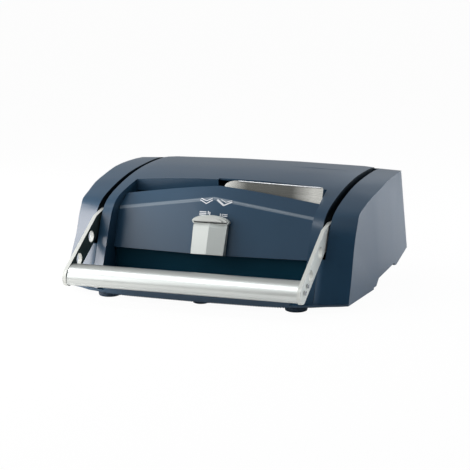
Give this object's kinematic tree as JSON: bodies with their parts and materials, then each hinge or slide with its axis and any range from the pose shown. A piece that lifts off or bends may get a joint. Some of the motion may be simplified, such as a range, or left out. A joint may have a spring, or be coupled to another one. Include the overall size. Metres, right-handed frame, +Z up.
{
  "type": "book binding machine",
  "caption": "Lever-operated desktop book binding press: lifting a wide oval handle bar opens a pair of clamping jaws in a slot, with a selector knob and a sliding paper guide.",
  "frame": {"origin": "on the floor under the middle of the plan", "axes": "+X to the right of the operator, +Y from the operator to the back, +Z up"},
  "size_m": [0.4324, 0.3838, 0.1682],
  "materials": {
    "navy_plastic": "satin moulded navy plastic",
    "dark_plastic": "dark moulded plastic",
    "foot_rubber": "matt rubber",
    "satin_aluminium": "satin anodised",
    "plate_steel": "brushed",
    "knob_grey": "silver-grey satin paint",
    "black_steel": "black coating",
    "bright_steel": "bright drawn",
    "bronze": "plain bearing bronze"
  },
  "bodies": {
    "housing": {"base_pan": "navy_plastic", "centre_cover": "navy_plastic", "left_side_cover": "navy_plastic", "right_side_cover": "navy_plastic", "front_panel": "navy_plastic", "lower_fascia": "dark_plastic", "front_left_foot": "foot_rubber", "front_right_foot": "foot_rubber", "front_middle_foot": "foot_rubber", "rear_left_foot": "foot_rubber", "rear_right_foot": "foot_rubber", "left_frame": "black_steel", "right_frame": "black_steel", "rear_beam": "black_steel", "left_slide_guide": "black_steel", "right_slide_guide": "black_steel", "fixed_jaw": "bright_steel", "spine_bed": "bright_steel", "left_guide_rod": "bright_steel", "right_guide_rod": "bright_steel", "left_shaft_bush": "bronze", "right_shaft_bush": "bronze"},
    "handle": {"cross_shaft": "bright_steel", "left_pinion": "bright_steel", "right_pinion": "bright_steel", "left_shaft_spacer": "bright_steel", "right_shaft_spacer": "bright_steel", "left_handle_arm": "satin_aluminium", "right_handle_arm": "satin_aluminium", "handle_bar": "satin_aluminium", "left_upper_bar_screw": "bright_steel", "left_lower_bar_screw": "bright_steel", "right_upper_bar_screw": "bright_steel", "right_lower_bar_screw": "bright_steel", "left_hub_screw": "bright_steel", "right_hub_screw": "bright_steel"},
    "jaw": {"moving_jaw": "bright_steel", "left_rack": "bright_steel", "right_rack": "bright_steel"},
    "selector": {"selector_knob": "knob_grey", "selector_shaft": "bright_steel", "selector_crank": "bright_steel"},
    "slide": {"mode_slide": "dark_plastic"},
    "paper_guide": {"guide_plate": "plate_steel"}
  },
  "joints": [
    {"name": "handle_hinge", "type": "hinge", "parent": "housing", "child": "handle", "pos_m": [0, 0.12788, 0.096], "axis": [-1, 0, 0], "range_deg": [0, 65]},
    {"name": "jaw_slide", "type": "slide", "parent": "housing", "child": "jaw", "axis": [0, 1, 0], "range_m": [0, 0.0185]},
    {"name": "selector_hinge", "type": "hinge", "parent": "housing", "child": "selector", "pos_m": [0, -0.0705, 0.093], "axis": [0, -0.9701, 0.2425], "range_deg": [-30, 30]},
    {"name": "mode_slide_run", "type": "slide", "parent": "housing", "child": "slide", "axis": [1, 0, 0], "range_m": [-0.0085, 0.0085]},
    {"name": "paper_guide_slide", "type": "slide", "parent": "housing", "child": "paper_guide", "axis": [-1, 0, 0], "range_m": [0, 0.13]}
  ],
  "couplings": [
    {"joint": "jaw_slide", "follows": "handle_hinge", "m_per_rad": 0.016},
    {"joint": "mode_slide_run", "follows": "selector_hinge", "m_per_rad": 0.0157}
  ]
}
